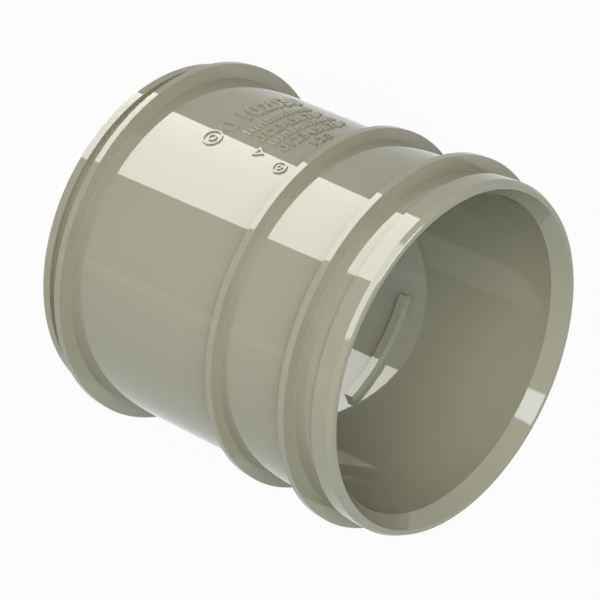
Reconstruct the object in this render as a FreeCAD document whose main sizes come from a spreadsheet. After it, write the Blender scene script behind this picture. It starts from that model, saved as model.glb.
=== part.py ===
import FreeCAD, Part
import os
import Sketcher

# Pipe coupler for 82 mm soil pipe: one moulded piece with a plain socket at each end.
# It stands on its lower end. Z runs up the pipe axis, and the origin is the centre of the lower face.
# All lengths are millimetres.

SIZES = [
    ("OverallLength", 97.5, "from the lower face to the upper face"),
    ("SocketDiameter", 82.8, "bore that the pipe slides into"),
    ("BarrelDiameter", 89.5, "outside of the plain wall between the ribs"),
    ("LeadInDiameter", 88.0, "wide end of the lead-in at each mouth"),
    ("LeadInDepth", 4.2, "length of the lead-in, along the axis"),
    ("LipDiameter", 92.0, "outside of the thickened lip at each end"),
    ("UpperLipLength", 6.2, "length of the upper lip, chamfer included"),
    ("LowerLipLength", 2.3, "length of the lower lip"),
    ("MouthFaceDiameter", 90.4, "outside of the upper end face"),
    ("MouthLandLength", 0.45, "short straight land below the upper face"),
    ("MouthChamferLength", 1.1, "chamfer between the land and the lip, along the axis"),
    ("RibDiameter", 97.2, "upper and lower ribs"),
    ("MiddleRibDiameter", 95.3, "middle rib, which stands a little lower than the others"),
    ("RibThickness", 1.9, "each rib, along the axis"),
    ("UpperRibSetback", 13.6, "from the upper face down to the middle of the upper rib"),
    ("MiddleRibSetback", 38.1, "from the upper face down to the middle of the middle rib"),
    ("LowerRibHeight", 7.7, "from the lower face up to the middle of the lower rib"),
    ("RootFlare", 0.35, "small sloped flare where a rib or lip meets the wall"),
    ("EdgeBreak", 0.2, "broken edge on the outside of the ribs and lips"),
    ("RingBedding", 2.5, "how deep the ribs, lips and stops are bedded in the wall, so they join it"),
    ("StopCount", 4, "pipe stops, evenly spaced round the bore"),
    ("StopSpan", 45.0, "angle that each stop covers, in degrees"),
    ("StopThickness", 2.6, "each stop, along the axis"),
    ("StopProjection", 2.0, "how far each stop stands in from the bore"),
    ("MeetingRidge", 0.1, "low ridge round the bore between the stops, where its two halves meet"),
]

NODE = "coupler_body"

# Places that several sections share, as sheet expressions.
BORE = "Sizes.SocketDiameter / 2"
WALL = "Sizes.BarrelDiameter / 2"
BED = WALL + " - Sizes.RingBedding"
FLARE = WALL + " + Sizes.RootFlare"
LIP = "Sizes.LipDiameter / 2"
RIB = "Sizes.RibDiameter / 2"
MIDDLE_RIB = "Sizes.MiddleRibDiameter / 2"
TOP = "Sizes.OverallLength"
MIDDLE = "Sizes.OverallLength / 2"
STOP_BOTTOM = "(Sizes.OverallLength - Sizes.StopThickness) / 2"
STOP_TOP = "(Sizes.OverallLength + Sizes.StopThickness) / 2"


def make_sheet(doc):
    """Driving dimensions, one row each: name, value, what it is."""
    sheet = doc.addObject("Spreadsheet::Sheet", "Sizes")
    for row, (name, value, meaning) in enumerate(SIZES, start=1):
        sheet.set("A%d" % row, name)
        sheet.set("B%d" % row, str(value))
        sheet.set("C%d" % row, meaning)
        sheet.setAlias("B%d" % row, name)
    doc.recompute()
    return sheet


def origin_feature(body, role):
    """The body's own origin plane or axis with the given role."""
    for feature in body.Origin.OriginFeatures:
        if feature.Role == role:
            return feature
    raise ValueError("no origin feature " + role)


def place_corner(sketch, kind, line, value, expression):
    """Sets the start point of a line off from the axis or the lower face, by a sheet expression."""
    if expression == "0":
        own_axis = -2 if kind == "DistanceX" else -1
        sketch.addConstraint(Sketcher.Constraint("PointOnObject", line, 1, own_axis))
        return
    index = sketch.addConstraint(Sketcher.Constraint(kind, -1, 1, line, 1, value))
    sketch.setExpression("Constraints[%d]" % index, expression)


def half_section(body, name, corners):
    """Closed outline in the XZ plane. Each corner is a radius and a height, as sheet expressions."""
    sketch = body.newObject("Sketcher::SketchObject", name)
    sketch.AttachmentSupport = [(origin_feature(body, "XZ_Plane"), "")]
    sketch.MapMode = "FlatFace"
    points = []
    for radius, height in corners:
        across = float(sketch.evalExpression(radius))
        up = float(sketch.evalExpression(height))
        points.append(FreeCAD.Vector(across, up, 0))
    count = len(corners)
    for line in range(count):
        sketch.addGeometry(Part.LineSegment(points[line], points[(line + 1) % count]), False)
    for line in range(count):
        sketch.addConstraint(Sketcher.Constraint("Coincident", line, 2, (line + 1) % count, 1))
    for line, (radius, height) in enumerate(corners):
        next_radius, next_height = corners[(line + 1) % count]
        last_radius, last_height = corners[line - 1]
        if next_radius == radius:
            sketch.addConstraint(Sketcher.Constraint("Vertical", line))
        if next_height == height:
            sketch.addConstraint(Sketcher.Constraint("Horizontal", line))
        if last_radius != radius:
            place_corner(sketch, "DistanceX", line, points[line].x, radius)
        if last_height != height:
            place_corner(sketch, "DistanceY", line, points[line].y, height)
    return sketch


def turn(body, name, corners, kind="PartDesign::Revolution"):
    """Turns a half section right round the pipe axis, adding a ring or cutting one."""
    sketch = half_section(body, name + "Section", corners)
    feature = body.newObject(kind, name)
    feature.Profile = sketch
    feature.ReferenceAxis = (sketch, ["V_Axis"])
    feature.Angle = 360.0
    body.Document.recompute()
    return feature


def add_barrel(body):
    """Plain round blank from face to face, which the sockets are cut out of later."""
    return turn(body, "Barrel", [("0", "0"), (WALL, "0"), (WALL, TOP), ("0", TOP)])


def add_rib(body, name, outside, middle):
    """Ring round the wall, centred on the given height, with flared roots and broken edges."""
    bottom = middle + " - Sizes.RibThickness / 2"
    top = middle + " + Sizes.RibThickness / 2"
    below = bottom + " - Sizes.RootFlare"
    above = top + " + Sizes.RootFlare"
    foot = [(BED, below), (WALL, below), (FLARE, bottom), (FLARE, top), (WALL, above), (BED, above)]
    turn(body, name + "Foot", foot)
    side = outside + " - Sizes.EdgeBreak"
    low = bottom + " + Sizes.EdgeBreak"
    high = top + " - Sizes.EdgeBreak"
    ring = [(BED, bottom), (side, bottom), (outside, low), (outside, high), (side, top), (BED, top)]
    return turn(body, name, ring)


def add_ribs(body):
    """Two full ribs near the ends and a lower one between them."""
    add_rib(body, "LowerRib", RIB, "Sizes.LowerRibHeight")
    add_rib(body, "MiddleRib", MIDDLE_RIB, TOP + " - Sizes.MiddleRibSetback")
    add_rib(body, "UpperRib", RIB, TOP + " - Sizes.UpperRibSetback")


def add_lower_lip(body):
    """Short square lip round the lower end, flared and broken on its upper side only."""
    step = "Sizes.LowerLipLength"
    above = step + " + Sizes.RootFlare"
    turn(body, "LowerLipFoot", [(BED, "0"), (FLARE, "0"), (FLARE, step), (WALL, above), (BED, above)])
    side = LIP + " - Sizes.EdgeBreak"
    low = step + " - Sizes.EdgeBreak"
    return turn(body, "LowerLip", [(BED, "0"), (LIP, "0"), (LIP, low), (side, step), (BED, step)])


def add_upper_lip(body):
    """Longer lip round the upper end, with a chamfer and a short land up to the mouth face."""
    bottom = TOP + " - Sizes.UpperLipLength"
    below = bottom + " - Sizes.RootFlare"
    turn(body, "UpperLipFoot", [(BED, below), (WALL, below), (FLARE, bottom), (FLARE, TOP), (BED, TOP)])
    side = LIP + " - Sizes.EdgeBreak"
    low = bottom + " + Sizes.EdgeBreak"
    face = "Sizes.MouthFaceDiameter / 2"
    land = TOP + " - Sizes.MouthLandLength"
    shoulder = land + " - Sizes.MouthChamferLength"
    lower_half = [(BED, bottom), (side, bottom), (LIP, low), (LIP, shoulder)]
    upper_half = [(face, land), (face, TOP), (BED, TOP)]
    return turn(body, "UpperLip", lower_half + upper_half)


def cut_sockets(body):
    """A socket from each end down to the stops, with a lead-in cone, and the passage between the two."""
    mouth = "Sizes.LeadInDiameter / 2"
    low = "Sizes.LeadInDepth"
    high = TOP + " - Sizes.LeadInDepth"
    lower = [("0", "0"), (mouth, "0"), (BORE, low), (BORE, STOP_BOTTOM), ("0", STOP_BOTTOM)]
    upper = [("0", STOP_TOP), (BORE, STOP_TOP), (BORE, high), (mouth, TOP), ("0", TOP)]
    turn(body, "LowerSocket", lower, "PartDesign::Groove")
    turn(body, "UpperSocket", upper, "PartDesign::Groove")
    # The bore is narrowest midway between the sockets, where the two halves of it meet.
    crest = BORE + " - Sizes.MeetingRidge"
    passage = [("0", STOP_BOTTOM), (BORE, STOP_BOTTOM), (crest, MIDDLE), (BORE, STOP_TOP), ("0", STOP_TOP)]
    turn(body, "Passage", passage, "PartDesign::Groove")


def add_stops(body):
    """Arcs of square section at mid-length, which both pipes push against."""
    inside = BORE + " - Sizes.StopProjection"
    outside = BORE + " + Sizes.RingBedding"
    section = [(inside, STOP_BOTTOM), (outside, STOP_BOTTOM), (outside, STOP_TOP), (inside, STOP_TOP)]
    stop = turn(body, "PipeStop", section)
    stop.Midplane = True
    stop.setExpression("Angle", "Sizes.StopSpan")
    pattern = body.newObject("PartDesign::PolarPattern", "PipeStops")
    pattern.Originals = [stop]
    pattern.Axis = (origin_feature(body, "Z_Axis"), [""])
    pattern.Angle = 360.0
    pattern.setExpression("Occurrences", "Sizes.StopCount")
    body.Tip = pattern
    body.Document.recompute()
    return pattern


def make_coupler(doc):
    """The whole moulding, from the plain tube outwards and then inwards."""
    body = doc.addObject("PartDesign::Body", "CouplerBody")
    body.Label = NODE
    body.Placement = FreeCAD.Placement()
    add_barrel(body)
    add_lower_lip(body)
    add_upper_lip(body)
    add_ribs(body)
    cut_sockets(body)
    add_stops(body)
    return body


def check(doc, bodies):
    """Stops with a message if anything in the model failed or came out empty."""
    for item in doc.Objects:
        if "Invalid" in item.State or "Error" in item.State:
            raise ValueError("%s did not build: %s" % (item.Label, item.State))
    for body in bodies:
        shape = body.Shape
        if shape.isNull() or not shape.isValid() or len(shape.Solids) != 1:
            raise ValueError("%s is not one valid solid" % body.Label)


def main():
    doc = FreeCAD.newDocument("PipeCoupler")
    make_sheet(doc)
    body = make_coupler(doc)
    doc.recompute()
    check(doc, [body])
    os.makedirs("parts", exist_ok=True)
    body.Shape.exportStep("parts/%s.step" % body.Label)
    box = body.Shape.optimalBoundingBox()
    print("%s: %.2f x %.2f x %.2f mm" % (body.Label, box.XLength, box.YLength, box.ZLength))
    print("volume %.1f cubic mm, lowest point z %.3f" % (body.Shape.Volume, box.ZMin))


main()
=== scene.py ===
# %% [markdown]
# # A moulded pipe coupler
# The object is one piece of hard plastic: a short tube with a socket at each end, three ribs
# outside, a lip at each mouth and a broken stop ring inside. The frame loaded here is the exact
# solid, packed with its sizes. Everything made below sits in that frame, in metres, so nothing
# has to be fitted by eye.

# %% Load the frame
import math

import bmesh
import bpy
from mathutils import Matrix, Vector


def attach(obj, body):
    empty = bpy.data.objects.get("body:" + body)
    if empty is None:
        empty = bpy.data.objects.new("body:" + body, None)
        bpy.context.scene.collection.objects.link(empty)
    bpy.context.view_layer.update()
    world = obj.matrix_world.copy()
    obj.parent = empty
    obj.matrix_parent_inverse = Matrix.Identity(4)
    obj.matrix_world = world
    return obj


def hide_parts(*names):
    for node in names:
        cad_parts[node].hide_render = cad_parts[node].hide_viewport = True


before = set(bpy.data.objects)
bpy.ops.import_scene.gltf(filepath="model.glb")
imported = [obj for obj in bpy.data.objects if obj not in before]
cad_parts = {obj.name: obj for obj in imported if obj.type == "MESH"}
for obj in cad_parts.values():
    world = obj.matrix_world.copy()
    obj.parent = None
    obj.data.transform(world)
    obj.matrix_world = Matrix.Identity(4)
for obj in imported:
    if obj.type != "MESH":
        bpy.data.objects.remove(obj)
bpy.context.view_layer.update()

# %% [markdown]
# ## Millimetres and small helpers
# A maker thinks of this part in millimetres, and Blender works in metres. So every size of the
# part is written in millimetres and multiplied just once, where a vertex is placed or rounded.
# Only the floor, the lamps and the camera are written in metres. A finished bmesh always goes
# through the same steps: doubles merged, faces turned outwards, and shading set smooth between
# the sharp edges.

# %% Helpers for meshes
MM = 0.001
MERGE_DISTANCE = 1e-7
SHARP_ANGLE = math.radians(25)
LARGE_FACE_WEIGHT = 100


def make_piece(bm, name):
    """Turns a finished bmesh into an object at the origin."""
    bmesh.ops.remove_doubles(bm, verts=bm.verts, dist=MERGE_DISTANCE)
    bmesh.ops.recalc_face_normals(bm, faces=bm.faces)
    open_edges = sum(1 for edge in bm.edges if not edge.is_manifold)
    mesh = bpy.data.meshes.new(name)
    bm.to_mesh(mesh)
    bm.free()
    for face in mesh.polygons:
        face.use_smooth = True
    mesh.set_sharp_from_angle(angle=SHARP_ANGLE)
    piece = bpy.data.objects.new(name, mesh)
    bpy.context.scene.collection.objects.link(piece)
    print(name, len(mesh.vertices), "vertices,", len(mesh.polygons), "faces,",
          open_edges, "open edges")
    return piece


def even_shading(piece):
    """Lets large faces set the normals, so flats stay flat beside their rounded edges."""
    shading = piece.modifiers.new("even shading", "WEIGHTED_NORMAL")
    shading.mode = "FACE_AREA"
    shading.weight = LARGE_FACE_WEIGHT
    shading.keep_sharp = True


# %% [markdown]
# ## The half section of the wall
# A turned or moulded tube is fully described by one cut through its wall. The corners are listed
# once round: up the outside with its lip, ribs and upper lip, over the mouth, and down the bore.
# Each corner is a radius, a height along the axis, and the rounding that the mould leaves there.
# The rounding is only about a tenth of a millimetre, but without it no thin highlight would run
# round the roots and edges of the ribs.

# %% Radii, heights and roundings
WALL = 44.75
BORE = 41.4
MOUTH = 44.0
FACE_EDGE = 45.2
LIP = 46.0
RIB = 48.6
MIDDLE_RIB = 47.65

HEIGHT = 97.5
LOWER_LEAD_IN_TOP = 4.2
UPPER_LEAD_IN_FOOT = 93.3
LOWER_LIP_TOP = 2.3
UPPER_LIP_FOOT = 91.3
CHAMFER_FOOT = 95.95
CHAMFER_TOP = 97.05
RIB_MIDDLES = (7.7, 59.4, 83.9)
RIB_THICKNESS = 1.9
STOP_LOW = 47.45
STOP_HIGH = 50.05
RIDGE_MIDDLE = 48.75
RIDGE_PROUD = 0.1

ROOT_ROUND = 0.12
EDGE_ROUND = 0.1
MOUTH_ROUND = 0.06
print("wall", round(WALL - BORE, 2), "mm thick, bore", 2 * BORE, "mm across")

# %% List the corners
def rib_corners(radius, middle):
    """The four corners of a rib, from its lower root to its upper root."""
    low = middle - RIB_THICKNESS / 2
    high = middle + RIB_THICKNESS / 2
    return [(WALL, low, ROOT_ROUND), (radius, low, EDGE_ROUND),
            (radius, high, EDGE_ROUND), (WALL, high, ROOT_ROUND)]


lower_lip = [(MOUTH, 0.0, MOUTH_ROUND), (LIP, 0.0, MOUTH_ROUND),
             (LIP, LOWER_LIP_TOP, EDGE_ROUND), (WALL, LOWER_LIP_TOP, ROOT_ROUND)]
ribs = []
for radius, middle in zip((RIB, MIDDLE_RIB, RIB), RIB_MIDDLES):
    ribs += rib_corners(radius, middle)
upper_lip = [(WALL, UPPER_LIP_FOOT, ROOT_ROUND), (LIP, UPPER_LIP_FOOT, EDGE_ROUND),
             (LIP, CHAMFER_FOOT, 0), (FACE_EDGE, CHAMFER_TOP, 0),
             (FACE_EDGE, HEIGHT, MOUTH_ROUND), (MOUTH, HEIGHT, MOUTH_ROUND)]
bore = [(BORE, UPPER_LEAD_IN_FOOT, 0), (BORE, STOP_HIGH, 0),
        (BORE - RIDGE_PROUD, RIDGE_MIDDLE, 0), (BORE, STOP_LOW, 0), (BORE, LOWER_LEAD_IN_TOP, 0)]
wall_section = lower_lip + ribs + upper_lip + bore
print("corners in the half section", len(wall_section))

# %% [markdown]
# ## Spinning the shell
# The section starts as one flat face, because bevelling the vertices of a face rounds its corners
# exactly as a fillet does on paper. Then only the face is deleted, and its outline is spun once
# round the pipe axis. Spinning beats a screw modifier here, since the mesh is final and closed,
# and the last ring is merged with the first.

# %% Turn a half section
ROUND_SEGMENTS = 5
TURN_STEPS = 288


def section_face(corners):
    """A flat face in the XZ plane from (radius, height, rounding) corners, with those rounded."""
    bm = bmesh.new()
    points = [bm.verts.new((radius * MM, 0, height * MM)) for radius, height, rounding in corners]
    bm.faces.new(points)
    for point, (radius, height, rounding) in zip(points, corners):
        if rounding:
            bmesh.ops.bevel(bm, geom=[point], offset=rounding * MM, segments=ROUND_SEGMENTS,
                            affect="VERTICES", profile=0.5, material=-1)
    return bm


def turned_shell(corners, name):
    """The section's outline spun right round the axis."""
    bm = section_face(corners)
    bmesh.ops.delete(bm, geom=bm.faces[:], context="FACES_ONLY")
    bmesh.ops.spin(bm, geom=bm.verts[:] + bm.edges[:], cent=(0, 0, 0), axis=(0, 0, 1),
                   dvec=(0, 0, 0), angle=math.tau, steps=TURN_STEPS, use_merge=True,
                   use_duplicate=False)
    return make_piece(bm, name)


shell = turned_shell(wall_section, "coupler_shell")
even_shading(shell)

# %% [markdown]
# ## The broken stop ring
# Inside, at mid-length, four low arcs stop the two pipes. Each is a small squared bar that grows
# out of the bore, with only its two inner edges eased. A bar is one section face spun through
# 45 degrees: spinning a face instead of an outline closes both ends. The other three arcs are the
# same spin started a quarter turn further on.

# %% Spin the four stops
STOP_COUNT = 4
STOP_SPAN = math.radians(45)
STOP_STEPS = 36
STOP_TIP = 39.4
STOP_ROOT = 42.0
STOP_ROUND = 0.08
stop_section = [(STOP_TIP, STOP_LOW, STOP_ROUND), (STOP_ROOT, STOP_LOW, 0),
                (STOP_ROOT, STOP_HIGH, 0), (STOP_TIP, STOP_HIGH, STOP_ROUND)]


def turn_about_axis(angle):
    """A turn about the pipe axis."""
    return Matrix.Rotation(angle, 3, "Z")


def join_into(bm, other):
    """Adds one bmesh to another through a passing mesh."""
    passing = bpy.data.meshes.new("passing")
    other.to_mesh(passing)
    other.free()
    bm.from_mesh(passing)
    bpy.data.meshes.remove(passing)


def add_stop(bm, middle):
    """One arc of the ring, centred on the given angle."""
    bar = section_face(stop_section)
    start = turn_about_axis(middle - STOP_SPAN / 2)
    bmesh.ops.rotate(bar, verts=bar.verts, cent=(0, 0, 0), matrix=start)
    bmesh.ops.spin(bar, geom=bar.faces[:], cent=(0, 0, 0), axis=(0, 0, 1), dvec=(0, 0, 0),
                   angle=STOP_SPAN, steps=STOP_STEPS, use_duplicate=False)
    bmesh.ops.recalc_face_normals(bar, faces=bar.faces)
    join_into(bm, bar)


stop_mesh = bmesh.new()
for stop in range(STOP_COUNT):
    add_stop(stop_mesh, stop * math.tau / STOP_COUNT)
stops = make_piece(stop_mesh, "stop_ring")
even_shading(stops)

# %% [markdown]
# ## A raised scale on the barrel
# Between the lower and middle ribs the barrel carries small raised marks. Here they are a plain
# alignment scale: numbers, tick lines, two double rings and a triangle for a pointer, all just
# under half a millimetre proud. Each mark is made flat first, then wrapped: its width becomes an
# angle round the barrel and its height a place along the axis. Wrapping vertices keeps every mark
# the same height above the curved wall, which a straight copy laid on it would not. The foot of a
# mark is sunk a little into the wall, so that no gap opens under it.

# %% Wrap flat marks round the barrel
VIEW_SIDE = -82.3
MARK_PROUD = 0.42
MARK_SUNK = 0.15


def wrap(bm, side, height):
    """Bends flat marks (x right, y up, z out, in mm) round the wall, with their tops downwards."""
    for vertex in bm.verts:
        angle = math.radians(VIEW_SIDE + side) - vertex.co.x / WALL
        radius = WALL + vertex.co.z
        up = height - vertex.co.y
        vertex.co = Vector((radius * math.cos(angle), radius * math.sin(angle), up)) * MM


print("one degree round the barrel is", round(math.radians(1) * WALL, 3), "mm")

# %% [markdown]
# ## Numbers for the scale
# A figure could be drawn point by point, but a text curve already has a good outline. Its extrude
# gives the thickness, and its offset makes it a little bolder than the font. With some pairs of
# boldness and curve fineness a figure's mesh came out with open edges, so the pair below is one
# with which all ten figures closed. The curve becomes a mesh first and is then scaled to height.

# %% Make a flat number
FIGURE_BOLDNESS = 0.035
FIGURE_RESOLUTION = 4


def flat_number(words, size):
    """A number as a flat raised mesh, centred on its place, its figures the given height in mm."""
    curve = bpy.data.curves.new("number", "FONT")
    curve.body = words
    curve.align_x = "CENTER"
    curve.extrude = (MARK_PROUD + MARK_SUNK) / 2
    curve.offset = FIGURE_BOLDNESS
    curve.resolution_u = FIGURE_RESOLUTION
    holder = bpy.data.objects.new("number", curve)
    mesh = bpy.data.meshes.new_from_object(holder)
    bm = bmesh.new()
    bm.from_mesh(mesh)
    bpy.data.objects.remove(holder)
    bpy.data.curves.remove(curve)
    bpy.data.meshes.remove(mesh)
    tall = size / max(vertex.co.y for vertex in bm.verts)
    bmesh.ops.scale(bm, verts=bm.verts, vec=(tall, tall, 1))
    bmesh.ops.translate(bm, verts=bm.verts, vec=(0, 0, (MARK_PROUD - MARK_SUNK) / 2))
    return bm


# %% [markdown]
# ## Ticks and rings for the scale
# A tick is a cube scaled to a bar. Only its upper edges are bevelled, because its foot is inside
# the wall. A ring is a filled circle that is inset, loses its middle and is extruded outwards,
# which needs no cutting. The same steps on a circle of three sides give the triangle.

# %% Make a flat tick or ring
TICK_BEVEL = 0.08
TICK_BEVEL_SEGMENTS = 2
RING_SIDES = 40
TRIANGLE_SIDES = 3


def flat_tick(width, height):
    """A plain raised bar standing on its place."""
    bm = bmesh.new()
    bmesh.ops.create_cube(bm, size=1.0)
    bmesh.ops.scale(bm, verts=bm.verts, vec=(width, height, MARK_PROUD + MARK_SUNK))
    lift = (MARK_PROUD - MARK_SUNK) / 2
    bmesh.ops.translate(bm, verts=bm.verts, vec=(0, height / 2, lift))
    top = [edge for edge in bm.edges if all(vertex.co.z > 0 for vertex in edge.verts)]
    bmesh.ops.bevel(bm, geom=top, offset=TICK_BEVEL, segments=TICK_BEVEL_SEGMENTS,
                    affect="EDGES", profile=0.5, material=-1)
    return bm


def flat_ring(radius, width, sides):
    """A raised ring or, with three sides, a raised triangle outline."""
    bm = bmesh.new()
    bmesh.ops.create_circle(bm, cap_ends=True, segments=sides, radius=radius)
    if sides == TRIANGLE_SIDES:
        bmesh.ops.rotate(bm, verts=bm.verts, cent=(0, 0, 0), matrix=turn_about_axis(math.pi))
    rim = bmesh.ops.inset_region(bm, faces=bm.faces[:], thickness=width, use_even_offset=True,
                                 use_boundary=True)
    middle = [face for face in bm.faces if face not in rim["faces"]]
    bmesh.ops.delete(bm, geom=middle, context="FACES")
    grown = bmesh.ops.extrude_face_region(bm, geom=bm.faces[:] + bm.edges[:], use_keep_orig=True)
    raised = [item for item in grown["geom"] if isinstance(item, bmesh.types.BMVert)]
    bmesh.ops.translate(bm, verts=raised, vec=(0, 0, MARK_PROUD + MARK_SUNK))
    bmesh.ops.translate(bm, verts=bm.verts, vec=(0, 0, -MARK_SUNK))
    return bm


# %% [markdown]
# ## Laying out the scale
# Rows are heights on the barrel in millimetres, and most marks step round it in degrees from one
# zero line. Each tick counts two, so the large numbers stand in line with the long ticks. Two rows
# of the ten figures follow at a wider pitch, and then three small numbers. Loops keep the rows
# regular, which is hard by hand, and all the marks become one mesh.

# %% Places and sizes of the marks
ZERO = -41.5
TICK_PITCH = 1.86
TICK_COUNT = 16
TICK_WORTH = 2
LONG_TICK_EVERY = 5
TICK_WIDTH = 0.55
LONG_TICK = 3.0
SHORT_TICK = 2.0
TICK_ROWS = (37.3, 45.4)

LARGE_NUMBERS = (0, 10, 20, 30)
LARGE_SIZE = 5.4
LARGE_ROW = 32.0

FIGURE_COUNT = 10
FIGURE_PITCH = 3.1
FIGURE_SIZE = 3.1
FIGURE_ROWS = (41.6, 49.3)

SMALL_NUMBERS = (1, 2, 3)
SMALL_ZERO = -45.5
SMALL_PITCH = 3.5
SMALL_SIZE = 2.5
SMALL_ROW = 53.4

# Each outline is a radius, a width, a number of sides, degrees round the barrel and a row.
OUTLINES = [
    (2.65, 0.5, RING_SIDES, -34.4, 29.1),
    (1.2, 0.45, RING_SIDES, -34.4, 29.1),
    (1.8, 0.42, TRIANGLE_SIDES, -36.0, 43.6),
    (1.95, 0.45, RING_SIDES, -33.6, 52.1),
    (0.8, 0.4, RING_SIDES, -33.6, 52.1),
]
print("the scale covers", round((TICK_COUNT - 1) * TICK_PITCH, 1), "degrees of the barrel")

# %% Lay out the scale
scale_mesh = bmesh.new()


def add_mark(flat, side, row):
    """Wraps one flat mark round the barrel and joins it to the scale."""
    wrap(flat, side, row)
    join_into(scale_mesh, flat)


for number in LARGE_NUMBERS:
    side = ZERO - number / TICK_WORTH * TICK_PITCH
    add_mark(flat_number(str(number), LARGE_SIZE), side, LARGE_ROW)
for row in TICK_ROWS:
    for step in range(TICK_COUNT):
        length = SHORT_TICK if step % LONG_TICK_EVERY else LONG_TICK
        add_mark(flat_tick(TICK_WIDTH, length), ZERO - step * TICK_PITCH, row)
for row in FIGURE_ROWS:
    for figure in range(FIGURE_COUNT):
        add_mark(flat_number(str(figure), FIGURE_SIZE), ZERO - figure * FIGURE_PITCH, row)
for number in SMALL_NUMBERS:
    side = SMALL_ZERO - number * SMALL_PITCH
    add_mark(flat_number(str(number), SMALL_SIZE), side, SMALL_ROW)
for radius, width, sides, side, row in OUTLINES:
    add_mark(flat_ring(radius, width, sides), side, row)
marks = make_piece(scale_mesh, "raised_scale")

# %% [markdown]
# ## The plastic
# The coupler is olive-grey hard plastic, moulded glossy. Three things make it read as plastic and
# not as paint: a colour that drifts very slightly where the melt flowed, a gloss that changes a
# little from place to place, and a fine unevenness that ruffles the edges of highlights. A picture
# could give all three, but noise needs no unwrapping and has no seam. It is read at Object
# coordinates, so it stays put when the camera moves. Colour and roughness vary, so they come
# through nodes; what is constant is typed into the shader.

# %% Helpers for materials
def new_material(name):
    """An empty node material and its output."""
    material = bpy.data.materials.new(name)
    material.use_nodes = True
    material.node_tree.nodes.clear()
    output = material.node_tree.nodes.new("ShaderNodeOutputMaterial")
    return material, output


def noise(tree, place, scale, detail):
    """Noise texture read at the given place."""
    texture = tree.nodes.new("ShaderNodeTexNoise")
    texture.inputs["Scale"].default_value = scale
    texture.inputs["Detail"].default_value = detail
    tree.links.new(place, texture.inputs["Vector"])
    return texture.outputs["Fac"]


def blend_range(tree, value, low, high):
    """A number that follows a 0 to 1 value between two limits."""
    spread = tree.nodes.new("ShaderNodeMapRange")
    spread.inputs["To Min"].default_value = low
    spread.inputs["To Max"].default_value = high
    tree.links.new(value, spread.inputs["Value"])
    return spread.outputs["Result"]


# %% Grey plastic material
PLASTIC_DARK = (0.380, 0.371, 0.284, 1)
PLASTIC_LIGHT = (0.400, 0.391, 0.301, 1)
PLASTIC_IOR = 1.5
PLASTIC_ROUGHNESS = 0.025
ROUGHNESS_DRIFT = 0.01
FLOW_SCALE = 22.0
FLOW_DETAIL = 3.0
GLOSS_SCALE = 140.0
GLOSS_DETAIL = 2.0
RIPPLE_SCALE = 900.0
RIPPLE_DETAIL = 2.0
RIPPLE_STRENGTH = 1.0
RIPPLE_DEPTH = 0.0000012

plastic, plastic_output = new_material("grey_pvc")
tree = plastic.node_tree
place = tree.nodes.new("ShaderNodeTexCoord").outputs["Object"]
shader = tree.nodes.new("ShaderNodeBsdfPrincipled")
shader.inputs["IOR"].default_value = PLASTIC_IOR
tree.links.new(shader.outputs["BSDF"], plastic_output.inputs["Surface"])

flow = noise(tree, place, FLOW_SCALE, FLOW_DETAIL)
colour = tree.nodes.new("ShaderNodeMix")
colour.data_type = "RGBA"
colour.inputs["A"].default_value = PLASTIC_DARK
colour.inputs["B"].default_value = PLASTIC_LIGHT
tree.links.new(flow, colour.inputs["Factor"])
tree.links.new(colour.outputs["Result"], shader.inputs["Base Color"])

gloss = noise(tree, place, GLOSS_SCALE, GLOSS_DETAIL)
roughness = blend_range(tree, gloss, PLASTIC_ROUGHNESS - ROUGHNESS_DRIFT,
                        PLASTIC_ROUGHNESS + ROUGHNESS_DRIFT)
tree.links.new(roughness, shader.inputs["Roughness"])

ripple = tree.nodes.new("ShaderNodeBump")
ripple.inputs["Strength"].default_value = RIPPLE_STRENGTH
ripple.inputs["Distance"].default_value = RIPPLE_DEPTH
tree.links.new(noise(tree, place, RIPPLE_SCALE, RIPPLE_DETAIL), ripple.inputs["Height"])
tree.links.new(ripple.outputs["Normal"], shader.inputs["Normal"])
print("grey plastic has", len(tree.nodes), "nodes")

# %% [markdown]
# ## Tying the pieces to the part
# The coupler has no joints, so every piece rides on its one body. The shell stands for the packed
# solid, which is hidden here and kept for collisions. All three pieces are the same moulding, so
# they share one material and one slot.

# %% Give the pieces their material and body
for piece in (shell, stops, marks):
    piece.data.materials.append(plastic)
    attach(piece, "root")
    print(piece.name, "rides on root in", plastic.name)
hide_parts("coupler_body")

# %% [markdown]
# ## Floor
# A plain white floor lies under the part. It is a matt surface that takes the shadow, mixed with a
# plain white glow for the rays that carry a picture: from the camera, from a reflection or through
# something clear. So the background is white and a soft shadow is left, without more light on the
# part. The softbox that draws the highlight of the barrel lies below the level of the floor, so
# the floor is hidden from reflections. They see the studio there instead, which is equally white.

# %% Helpers for rays and sums
def seen_directly(tree, rays):
    """1 for a ray from the camera, from a reflection or through a clear surface, else 0."""
    first = tree.nodes.new("ShaderNodeMath")
    first.operation = "ADD"
    tree.links.new(rays.outputs["Is Camera Ray"], first.inputs[0])
    tree.links.new(rays.outputs["Is Glossy Ray"], first.inputs[1])
    second = tree.nodes.new("ShaderNodeMath")
    second.operation = "ADD"
    second.use_clamp = True
    tree.links.new(first.outputs[0], second.inputs[0])
    tree.links.new(rays.outputs["Is Transmission Ray"], second.inputs[1])
    return second.outputs[0]


def times(tree, value, factor):
    """A value times a number or another value."""
    product = tree.nodes.new("ShaderNodeMath")
    product.operation = "MULTIPLY"
    tree.links.new(value, product.inputs[0])
    if isinstance(factor, (int, float)):
        product.inputs[1].default_value = factor
    else:
        tree.links.new(factor, product.inputs[1])
    return product.outputs[0]


# %% Floor
FLOOR_SIZE = 4.0
FLOOR_DROP = 0.0001
FLOOR_COLOUR = (0.8, 0.8, 0.8, 1)
FLOOR_GLOW = 1.0
FLOOR_GLOW_SHARE = 0.95

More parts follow.
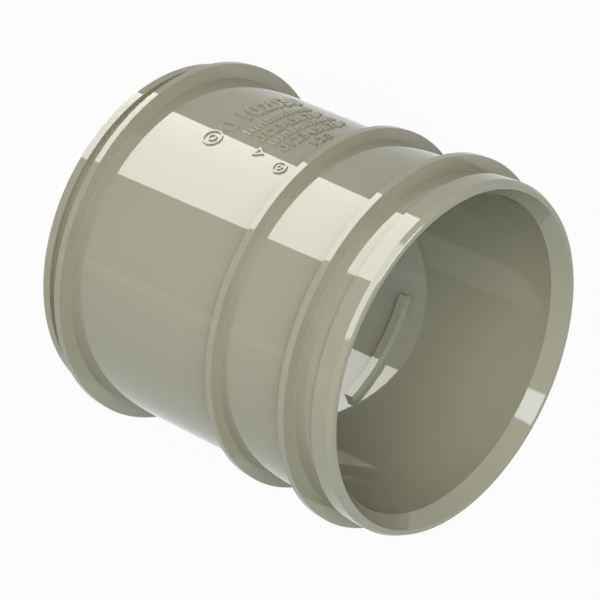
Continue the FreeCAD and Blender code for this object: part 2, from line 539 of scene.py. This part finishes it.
floor_bm = bmesh.new()
bmesh.ops.create_grid(floor_bm, x_segments=1, y_segments=1, size=FLOOR_SIZE)
bmesh.ops.translate(floor_bm, verts=floor_bm.verts, vec=(0, 0, -FLOOR_DROP))
floor = make_piece(floor_bm, "studio_floor")
floor.visible_glossy = False
floor_material, floor_output = new_material("studio_floor_white")
tree = floor_material.node_tree
matt = tree.nodes.new("ShaderNodeBsdfDiffuse")
matt.inputs["Color"].default_value = FLOOR_COLOUR
glow = tree.nodes.new("ShaderNodeEmission")
glow.inputs["Strength"].default_value = FLOOR_GLOW
share = tree.nodes.new("ShaderNodeMixShader")
seen = seen_directly(tree, tree.nodes.new("ShaderNodeLightPath"))
tree.links.new(times(tree, seen, FLOOR_GLOW_SHARE), share.inputs["Fac"])
tree.links.new(matt.outputs[0], share.inputs[1])
tree.links.new(glow.outputs[0], share.inputs[2])
tree.links.new(share.outputs[0], floor_output.inputs["Surface"])
floor.data.materials.append(floor_material)

# %% [markdown]
# ## Studio
# Gloss only shows what surrounds it, so the studio has softboxes that exist for reflections alone.
# They could be glowing planes, but here they are windows in the world's directions, because a
# window needs no place, only a range of compass angles and heights. So the first step turns the
# direction of a ray into those two angles. The world isn't sampled as a lamp, since its bright
# windows give no matt light.

# %% Compass angle and height of a ray
world = bpy.data.worlds.new("studio")
bpy.context.scene.world = world
world.use_nodes = True
world.cycles.sampling_method = "NONE"
tree = world.node_tree
tree.nodes.clear()
direction = tree.nodes.new("ShaderNodeSeparateXYZ")
tree.links.new(tree.nodes.new("ShaderNodeTexCoord").outputs["Generated"], direction.inputs[0])


def angle_of(operation, *values):
    """The angle, in degrees, that a trigonometric node of the world gives."""
    radians = tree.nodes.new("ShaderNodeMath")
    radians.operation = operation
    for index, value in enumerate(values):
        tree.links.new(value, radians.inputs[index])
    return times(tree, radians.outputs[0], 180 / math.pi)


compass = angle_of("ARCTAN2", direction.outputs["Y"], direction.outputs["X"])
elevation = angle_of("ARCSINE", direction.outputs["Z"])
print("two angles take", len(tree.nodes), "nodes")

# %% [markdown]
# ## Edges of a window
# A window is a product of soft steps: 1 inside its ranges and 0 outside. The edge of a softbox is
# never quite sharp in a reflection, so each step fades over 0.8 degrees or more. A side may also
# lean with height, which the two long sides of the barrel's window do, because the measured edges
# of the highlight do.

# %% Edges of a window
WINDOW_EDGE = 0.4
LEAN_LEVEL = -38.8


def side_of(value, edge, rising, softness=WINDOW_EDGE):
    """A soft step from 0 to 1 at an angle, or from 1 to 0 where it isn't rising."""
    step = tree.nodes.new("ShaderNodeMapRange")
    step.interpolation_type = "SMOOTHSTEP"
    step.inputs["From Min"].default_value = edge - softness
    step.inputs["From Max"].default_value = edge + softness
    step.inputs["To Min"].default_value = 0.0 if rising else 1.0
    step.inputs["To Max"].default_value = 1.0 if rising else 0.0
    tree.links.new(value, step.inputs["Value"])
    return step.outputs["Result"]


def between(value, limits, softness=WINDOW_EDGE):
    """1 between two angles and 0 outside them, with slightly soft edges."""
    low, high = limits
    return times(tree, side_of(value, low, True, softness), side_of(value, high, False, softness))


def leaning(lean):
    """The compass angle for an edge that leans by so many degrees for each degree of height."""
    slant = tree.nodes.new("ShaderNodeMath")
    slant.operation = "MULTIPLY_ADD"
    slant.inputs[1].default_value = -lean
    slant.inputs[2].default_value = lean * LEAN_LEVEL
    tree.links.new(elevation, slant.inputs[0])
    corrected = tree.nodes.new("ShaderNodeMath")
    corrected.operation = "ADD"
    tree.links.new(compass, corrected.inputs[0])
    tree.links.new(slant.outputs[0], corrected.inputs[1])
    return corrected.outputs[0]


print("an edge fades over", 2 * WINDOW_EDGE, "degrees unless it is given more")

# %% [markdown]
# ## The white studio
# The camera, reflections and clear things see the studio as plain white. Matt surfaces get only a
# dim part of it, so that the lamps can shape the part. Light Path tells the two kinds of ray apart.

# %% The white studio
AMBIENT = 0.14
WHITE = (1, 1, 1, 1)


def background(colour, strength):
    """A background shader; strength is a number or a node's value."""
    shader = tree.nodes.new("ShaderNodeBackground")
    shader.inputs["Color"].default_value = colour
    if isinstance(strength, (int, float)):
        shader.inputs["Strength"].default_value = strength
    else:
        tree.links.new(strength, shader.inputs["Strength"])
    return shader.outputs[0]


rays = tree.nodes.new("ShaderNodeLightPath")
plain = tree.nodes.new("ShaderNodeMixShader")
tree.links.new(seen_directly(tree, rays), plain.inputs["Fac"])
tree.links.new(background(WHITE, AMBIENT), plain.inputs[1])
tree.links.new(background(WHITE, 1.0), plain.inputs[2])
print("matt surfaces get", AMBIENT, "of the white that the camera sees")

# %% [markdown]
# ## Softboxes
# One window draws the long bright panel down the barrel, one overhead shines in the sloped faces
# of the mouth, and a weak narrow one leaves a faint streak beside the panel. The overhead one has
# its lowest strip in two parts: a near one, which the chamfer of the mouth reflects, and a short
# brighter far one, which leaves the bright patch on the lead-in inside the mouth. Where one of
# these patches begins or ends, the angle was found by following the reflection back from there.

# %% Compass angles and heights of the softboxes
BARREL_SIDES = (-160.0, -103.4)
BARREL_LEANS = (1.03, -0.33)
MOUTH_SIDES = (-134.3, -67.0)
MOUTH_HEIGHTS = (33.0, 50.0)
NEAR_STRIP_SIDES = (-134.3, -112.0)
NEAR_STRIP_HEIGHTS = (31.3, 33.0)
FAR_STRIP_SIDES = (-100.2, -78.6)
FAR_STRIP_HEIGHTS = (30.5, 33.0)
SLOT_SIDES = (-43.7, -37.0)
LOW_HEIGHTS = (-56.0, -14.0)
FADING_EDGE = 1.5
FAR_EDGE = 1.2
SLOT_EDGE = 4.0


def window(left, right, heights):
    """A window of the world between two sides and two heights."""
    return times(tree, times(tree, left, right), between(elevation, heights))


barrel_left = side_of(leaning(BARREL_LEANS[0]), BARREL_SIDES[0], True)
barrel_right = side_of(leaning(BARREL_LEANS[1]), BARREL_SIDES[1], False)
barrel_window = window(barrel_left, barrel_right, LOW_HEIGHTS)
mouth_left = side_of(compass, MOUTH_SIDES[0], True)
mouth_right = side_of(compass, MOUTH_SIDES[1], False, FADING_EDGE)
mouth_window = window(mouth_left, mouth_right, MOUTH_HEIGHTS)
near_strip = times(tree, between(compass, NEAR_STRIP_SIDES),
                   between(elevation, NEAR_STRIP_HEIGHTS))
far_strip = times(tree, between(compass, FAR_STRIP_SIDES, FAR_EDGE),
                  between(elevation, FAR_STRIP_HEIGHTS))
slot_left = side_of(compass, SLOT_SIDES[0], True)
slot_right = side_of(compass, SLOT_SIDES[1], False, SLOT_EDGE)
slot_window = window(slot_left, slot_right, LOW_HEIGHTS)
print("the barrel's window is", round(BARREL_SIDES[1] - BARREL_SIDES[0], 1), "degrees wide")

# %% Strengths and colours of the softboxes
BARREL_PANEL = 7.65
MOUTH_PANEL = 6.3
FAR_PANEL = 7.9
SLOT_PANEL = 0.35
PANEL_WARM = (1.017, 1.0, 0.95, 1)
PANEL_COOL = (0.972, 1.0, 1.08, 1)


def sum_of(first, second):
    """Two shaders of the world added together."""
    both = tree.nodes.new("ShaderNodeAddShader")
    tree.links.new(first, both.inputs[0])
    tree.links.new(second, both.inputs[1])
    return both.outputs[0]


def softbox(opening, strength, colour):
    """A window of the world that only reflections see, at the given strength."""
    mirrored = times(tree, opening, rays.outputs["Is Glossy Ray"])
    return background(colour, times(tree, mirrored, strength))


panels = softbox(barrel_window, BARREL_PANEL, PANEL_WARM)
panels = sum_of(panels, softbox(mouth_window, MOUTH_PANEL, PANEL_COOL))
panels = sum_of(panels, softbox(near_strip, MOUTH_PANEL, PANEL_COOL))
panels = sum_of(panels, softbox(far_strip, FAR_PANEL, PANEL_COOL))
panels = sum_of(panels, softbox(slot_window, SLOT_PANEL, WHITE))
world_output = tree.nodes.new("ShaderNodeOutputWorld")
tree.links.new(sum_of(plain.outputs[0], panels), world_output.inputs["Surface"])
print("the studio has", len(tree.nodes), "nodes")

# %% [markdown]
# ## Soft lamps
# Three square area lamps light the matt side of the plastic: a warm one in front, a cooler one
# high above it, and a weak one behind, so that the far side isn't lost in other views. The
# strengths and colours of the front pair were fitted to colours measured on the barrel, ribs and
# bore. The lamps are hidden from reflections, because the windows in the world draw those.

# %% Soft lamps
PART_MIDDLE = Vector((0, 0, 0.05))
LAMP_SIZE = 1.0
LAMP_DISTANCE = 1.6
LAMP_WARM = (1.0, 0.943, 0.845)
LAMP_COOL = (0.797, 0.909, 0.943)
LAMP_WHITE = (1.0, 1.0, 1.0)


def soft_lamp(name, compass_angle, height_angle, power, colour):
    """A square soft lamp aimed near the middle of the part, with its angles in degrees."""
    lamp = bpy.data.lights.new(name, "AREA")
    lamp.shape = "SQUARE"
    lamp.size = LAMP_SIZE
    lamp.energy = power
    lamp.color = colour
    holder = bpy.data.objects.new(name, lamp)
    turn = math.radians(compass_angle)
    lift = math.radians(height_angle)
    aim = Vector((math.cos(lift) * math.cos(turn), math.cos(lift) * math.sin(turn), math.sin(lift)))
    holder.location = aim * LAMP_DISTANCE + PART_MIDDLE
    holder.rotation_euler = aim.to_track_quat("Z", "Y").to_euler()
    holder.visible_glossy = False
    bpy.context.scene.collection.objects.link(holder)
    print(name, power, "W, colour", colour)


soft_lamp("key_lamp", compass_angle=-88, height_angle=30, power=13.4, colour=LAMP_WARM)
soft_lamp("high_lamp", compass_angle=-67, height_angle=60, power=9.9, colour=LAMP_COOL)
soft_lamp("back_lamp", compass_angle=100, height_angle=50, power=3, colour=LAMP_WHITE)

# %% [markdown]
# ## Camera
# The photograph looks down at the part from about 0.7 metres away, with the camera rolled almost
# on its side, so the upright part appears to lie down. Its place, turn and lens below were worked
# out from the circles of the part as they appear. Depth of field stays off.

# %% Camera
LENS = 171.44
SENSOR_WIDTH = 36.0
NEAREST_SEEN = 0.05
CAMERA_PLACE = (0.078098, -0.577514, 0.471521)
CAMERA_TURN = (-29.6535, -47.3242, 135.2355)

camera_data = bpy.data.cameras.new("photo_camera")
camera_data.lens = LENS
camera_data.sensor_width = SENSOR_WIDTH
camera_data.clip_start = NEAREST_SEEN
camera = bpy.data.objects.new("photo_camera", camera_data)
camera.location = CAMERA_PLACE
camera.rotation_euler = [math.radians(angle) for angle in CAMERA_TURN]
bpy.context.scene.collection.objects.link(camera)
bpy.context.scene.camera = camera
bpy.context.scene.view_settings.view_transform = "Standard"
print("camera", round((camera.location - PART_MIDDLE).length, 2), "m from the middle of the part")
